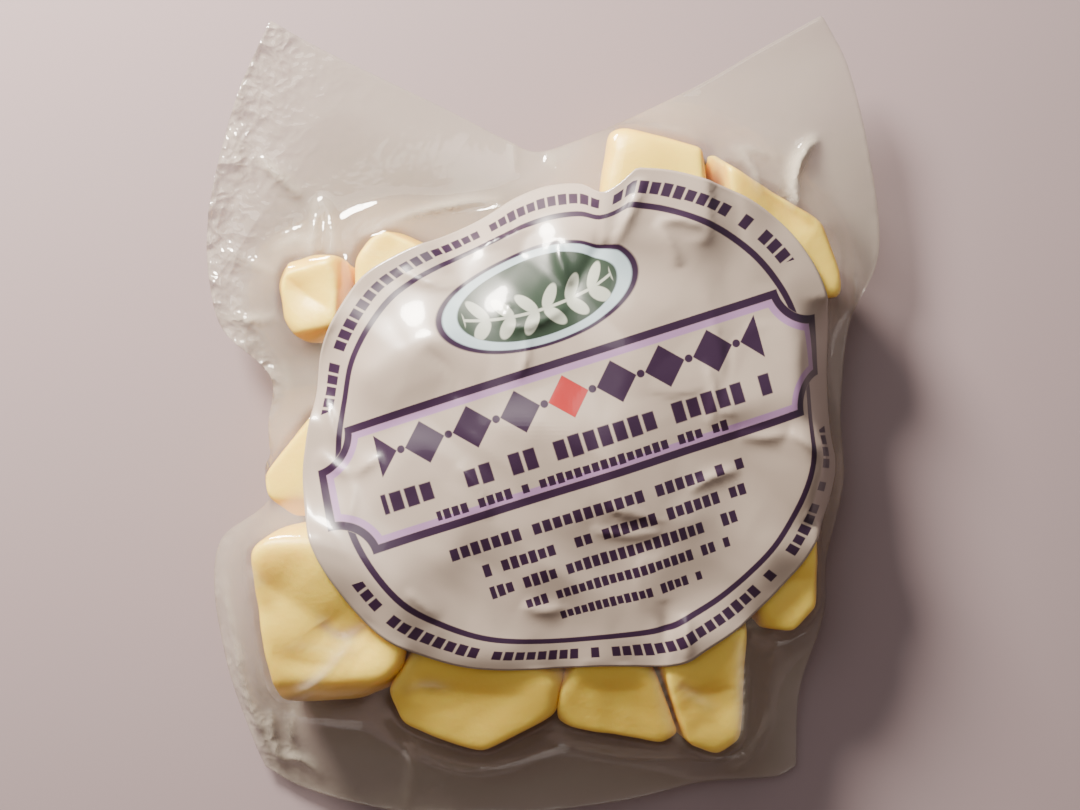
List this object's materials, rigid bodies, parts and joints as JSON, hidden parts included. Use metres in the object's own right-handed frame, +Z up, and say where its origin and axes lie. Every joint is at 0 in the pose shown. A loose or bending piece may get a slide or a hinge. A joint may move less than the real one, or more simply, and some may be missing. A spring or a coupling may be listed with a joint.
{
  "type": "vacuum pouch of cheddar cheese chunks",
  "caption": "Clear vacuum-sealed pouch of loose cheddar chunks, drawn tight over them, with flat wavy margins and an oval paper label; lies on its back.",
  "frame": {"origin": "on the floor under the middle of the pouch, which lies on its back", "axes": "+Z up, out of the labelled front; +Y towards the pouch's top edge, which dips between its two corners; +X to the right as the label is seen"},
  "size_m": [0.1338, 0.1589, 0.0288],
  "materials": {
    "cheese": "smooth, slightly oily cut cheese, pale yellow",
    "film": "clear glossy film, slightly hazy in its margins",
    "label": "glossy white coated paper with dark purple and lilac print"
  },
  "bodies": {
    "root": {"pouch": "cheese", "label": "label"}
  },
  "joints": []
}
